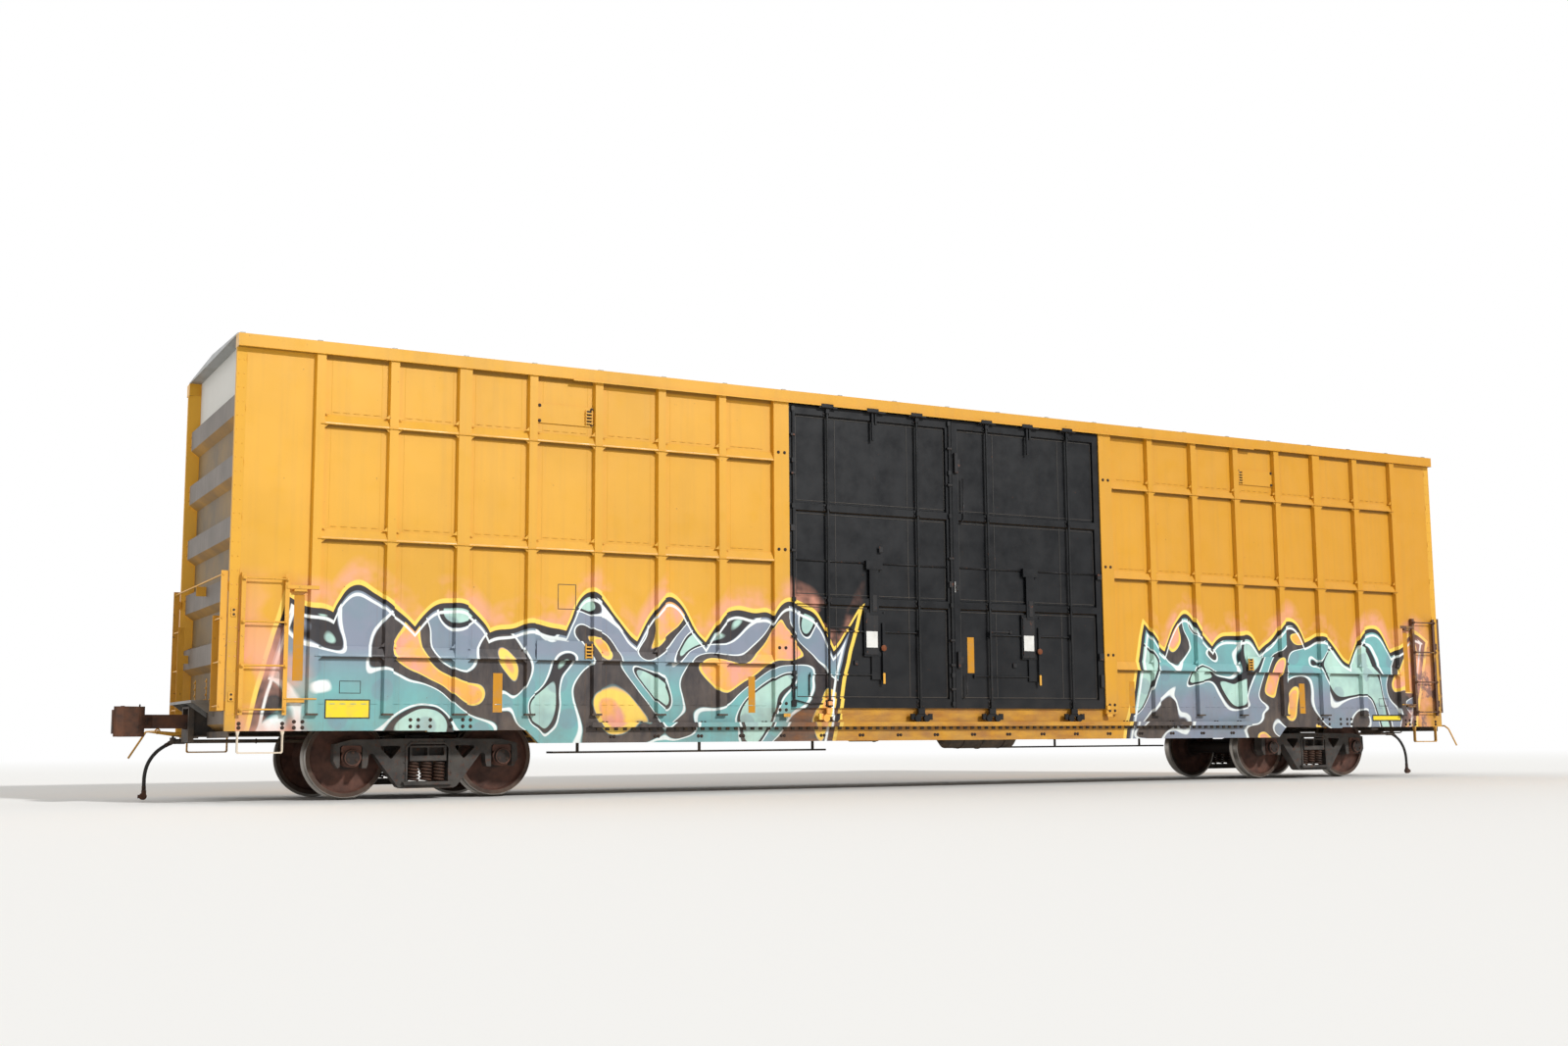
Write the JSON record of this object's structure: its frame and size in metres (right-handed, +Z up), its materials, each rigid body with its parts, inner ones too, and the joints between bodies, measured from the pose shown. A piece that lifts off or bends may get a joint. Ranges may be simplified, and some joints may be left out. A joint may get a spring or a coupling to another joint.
{
  "type": "railroad boxcar",
  "caption": "High-cube railroad boxcar with outside posts, double plug doors on each side, corrugated ends and two swivelling four-wheel trucks.",
  "frame": {"origin": "under the middle of the car, at the lowest point of the wheel flanges; the rail head is 25.4 mm above it", "axes": "+X along the car towards the end with the hand brake, +Y to its left, +Z up"},
  "size_m": [20.728, 3.28, 5.2114],
  "materials": {
    "body_yellow": "sun-faded yellow enamel on welded steel, dusty, with grime at the seams",
    "door_black": "semi-gloss black enamel, chipped to rust at the lock rods",
    "end_grey": "road-grimed paint on the pressed ends",
    "roof_steel": "galvanised roof sheet, dulled",
    "underframe_black": "black underframe paint under brown dust",
    "deck_wood": "nailable hardwood and steel floor, worn",
    "truck_iron": "cast steel with brown rust and brake dust",
    "wheel_iron": "rusty cast steel wheel plates with bright treads",
    "spring_steel": "oil-hardened spring steel, rusted",
    "yellow_fittings": "yellow paint on bars and brackets, worn to steel on the treads",
    "grating_steel": "hot-dip galvanised grating",
    "coupler_iron": "bare cast steel, brown rust, polished at the pulling faces",
    "hose_rubber": "ribbed black air hose",
    "sign_board": "plain painted board"
  },
  "bodies": {
    "carbody": {"air_hose_a": "hose_rubber", "air_hose_b": "hose_rubber", "angle_cocks": "underframe_black", "body_bolsters": "underframe_black", "brake_cylinder": "underframe_black", "brake_reservoir": "underframe_black", "brake_valve": "underframe_black", "center_plates": "underframe_black", "center_sill": "underframe_black", "crossbearers": "underframe_black", "door_gears": "door_black", "door_posts": "body_yellow", "door_rods": "door_black", "door_rollers": "door_black", "door_tracks": "body_yellow", "draft_yokes": "underframe_black", "end_ladders": "yellow_fittings", "end_platforms": "grating_steel", "end_sills": "underframe_black", "end_wall_a": "end_grey", "end_wall_b": "end_grey", "floor_deck": "deck_wood", "gladhand_a": "coupler_iron", "gladhand_b": "coupler_iron", "hand_brake": "underframe_black", "hand_brake_wheel": "yellow_fittings", "plug_door_left_a": "door_black", "plug_door_left_b": "door_black", "plug_door_right_a": "door_black", "plug_door_right_b": "door_black", "roof": "roof_steel", "side_grids_left": "body_yellow", "side_grids_right": "body_yellow", "side_ladders": "yellow_fittings", "side_panels_left": "body_yellow", "side_panels_right": "body_yellow", "side_sills": "body_yellow", "sign_boards": "sign_board", "sill_steps": "yellow_fittings", "top_chords": "body_yellow", "train_pipe": "underframe_black", "uncoupling_levers": "yellow_fittings"},
    "truck_a": {"bearings_a": "truck_iron", "brake_beams_a": "truck_iron", "coil_springs_a": "spring_steel", "side_frames_a": "truck_iron", "truck_bolster_a": "truck_iron"},
    "truck_b": {"bearings_b": "truck_iron", "brake_beams_b": "truck_iron", "coil_springs_b": "spring_steel", "side_frames_b": "truck_iron", "truck_bolster_b": "truck_iron"},
    "wheelset_1": {"wheelset_1": "wheel_iron"},
    "wheelset_2": {"wheelset_2": "wheel_iron"},
    "wheelset_3": {"wheelset_3": "wheel_iron"},
    "wheelset_4": {"wheelset_4": "wheel_iron"},
    "coupler_a": {"coupler_a": "coupler_iron"},
    "coupler_b": {"coupler_b": "coupler_iron"},
    "knuckle_a": {"knuckle_a": "coupler_iron"},
    "knuckle_b": {"knuckle_b": "coupler_iron"}
  },
  "joints": [
    {"name": "truck_a_swivel", "type": "hinge", "parent": "carbody", "child": "truck_a", "pos_m": [-7.0485, 0, 0.6854], "axis": [0, 0, 1], "range_deg": [-8, 8]},
    {"name": "coupler_a_swing", "type": "hinge", "parent": "carbody", "child": "coupler_a", "pos_m": [-8.95, 0, 0.9014], "axis": [0, 0, 1], "range_deg": [-7, 7]},
    {"name": "knuckle_a_open", "type": "hinge", "parent": "coupler_a", "child": "knuckle_a", "pos_m": [-10.228, 0.105, 0.9014], "axis": [0, 0, -1], "range_deg": [0, 45]},
    {"name": "truck_b_swivel", "type": "hinge", "parent": "carbody", "child": "truck_b", "pos_m": [7.0485, 0, 0.6854], "axis": [0, 0, 1], "range_deg": [-8, 8]},
    {"name": "coupler_b_swing", "type": "hinge", "parent": "carbody", "child": "coupler_b", "pos_m": [8.95, 0, 0.9014], "axis": [0, 0, 1], "range_deg": [-7, 7]},
    {"name": "knuckle_b_open", "type": "hinge", "parent": "coupler_b", "child": "knuckle_b", "pos_m": [10.228, -0.105, 0.9014], "axis": [0, 0, -1], "range_deg": [0, 45]},
    {"name": "wheelset_1_roll", "type": "hinge", "parent": "truck_a", "child": "wheelset_1", "pos_m": [-7.9375, 0, 0.4826], "axis": [0, 1, 0], "continuous": true},
    {"name": "wheelset_2_roll", "type": "hinge", "parent": "truck_a", "child": "wheelset_2", "pos_m": [-6.1595, 0, 0.4826], "axis": [0, 1, 0], "continuous": true},
    {"name": "wheelset_3_roll", "type": "hinge", "parent": "truck_b", "child": "wheelset_3", "pos_m": [6.1595, 0, 0.4826], "axis": [0, 1, 0], "continuous": true},
    {"name": "wheelset_4_roll", "type": "hinge", "parent": "truck_b", "child": "wheelset_4", "pos_m": [7.9375, 0, 0.4826], "axis": [0, 1, 0], "continuous": true}
  ]
}
